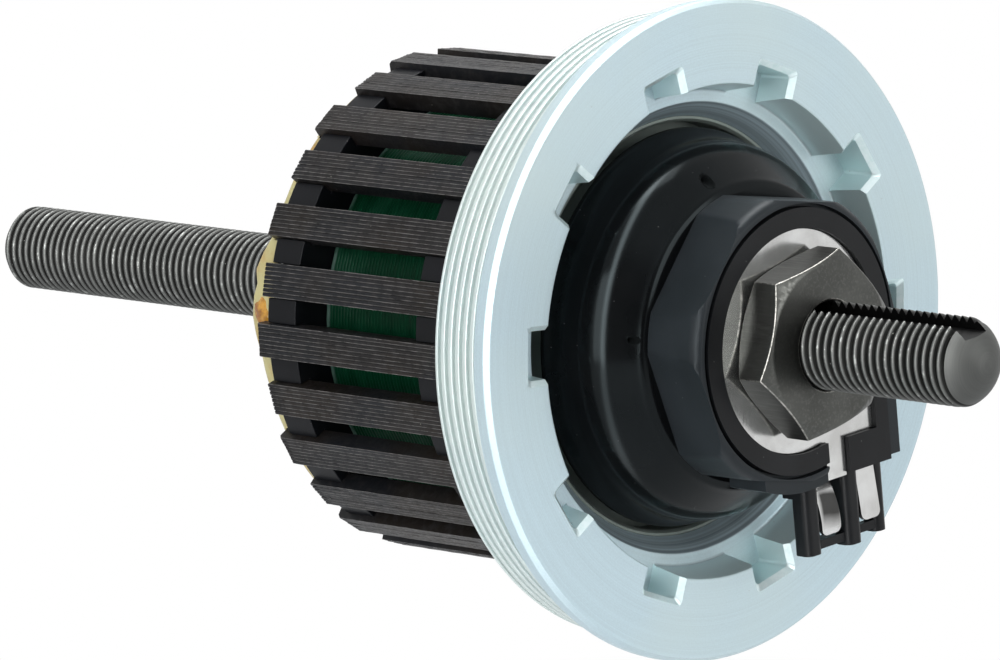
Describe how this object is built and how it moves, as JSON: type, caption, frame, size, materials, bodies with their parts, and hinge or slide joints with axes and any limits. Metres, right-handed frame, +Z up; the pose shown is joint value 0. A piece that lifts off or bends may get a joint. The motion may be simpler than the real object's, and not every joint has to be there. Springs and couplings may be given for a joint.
{
  "type": "hub dynamo",
  "caption": "Inner unit of a bicycle hub dynamo: threaded axle with a claw-pole stator and coil, a notched screw-in flange on a cone bearing, a dust cover and a two-pole connector.",
  "frame": {"origin": "middle of the axle's length, which is the middle of the hub between its locknuts", "axes": "+Y along the axle, away from the connector (to the rider's left when the connector is on the right); +Z up as fitted, with the connector hanging down; +X to the front of the bicycle"},
  "size_m": [0.0676, 0.14, 0.0676],
  "materials": {
    "axle_steel": "dark phosphated steel with worn thread crests",
    "nut_steel": "dark brown burnished steel",
    "hidden_nut_steel": "zinc-plated steel",
    "nickel_strip": "nickel-plated strip, fine scratches",
    "connector_plastic": "satin black moulding",
    "collar_plastic": "satin charcoal moulding",
    "cover_black": "satin black",
    "seal_rubber": "matt black",
    "bearing_steel": "ground bearing steel",
    "ball_steel": "polished bearing balls",
    "retainer_brass": "pressed strip",
    "zinc_plate": "pale blue zinc plate with turning marks",
    "pole_steel": "dark varnished laminations",
    "core_steel": "bare steel",
    "bobbin_plastic": "satin blue-black moulding",
    "green_enamel": "green enamelled copper wire",
    "amber_film": "translucent amber insulating film",
    "amber_resin": "clear amber resin",
    "lead_sheath": "black sheath",
    "copper_lead": "varnished copper wire"
  },
  "bodies": {
    "axle_unit": {"axle": "axle_steel", "locknut": "nut_steel", "terminal_plate": "nickel_strip", "live_terminal": "nickel_strip", "connector_body": "connector_plastic", "connector_collar": "collar_plastic", "cone_locknut": "hidden_nut_steel", "dust_cover": "cover_black", "dust_seal": "seal_rubber", "bearing_cone": "bearing_steel", "spacer_sleeve": "core_steel", "stator_core": "core_steel", "poles_bare_end": "pole_steel", "poles_connector_end": "pole_steel", "bobbin": "bobbin_plastic", "coil_core": "green_enamel", "coil_winding": "green_enamel", "end_insulator": "amber_film", "resin_bead": "amber_resin", "live_lead": "lead_sheath", "ground_lead": "copper_lead", "stator_washer": "hidden_nut_steel", "stator_nut": "hidden_nut_steel"},
    "flange": {"flange_ring": "zinc_plate", "bearing_cup": "bearing_steel"},
    "ball_cage": {"bearing_balls": "ball_steel", "ball_retainer": "retainer_brass"}
  },
  "joints": [
    {"name": "flange_spin", "type": "hinge", "parent": "axle_unit", "child": "flange", "pos_m": [0, -0.0268, 0], "axis": [0, 1, 0], "continuous": true},
    {"name": "cage_roll", "type": "hinge", "parent": "axle_unit", "child": "ball_cage", "pos_m": [0, -0.0268, 0], "axis": [0, 1, 0], "continuous": true}
  ],
  "couplings": [
    {"joint": "cage_roll", "follows": "flange_spin", "ratio": 0.5647}
  ]
}
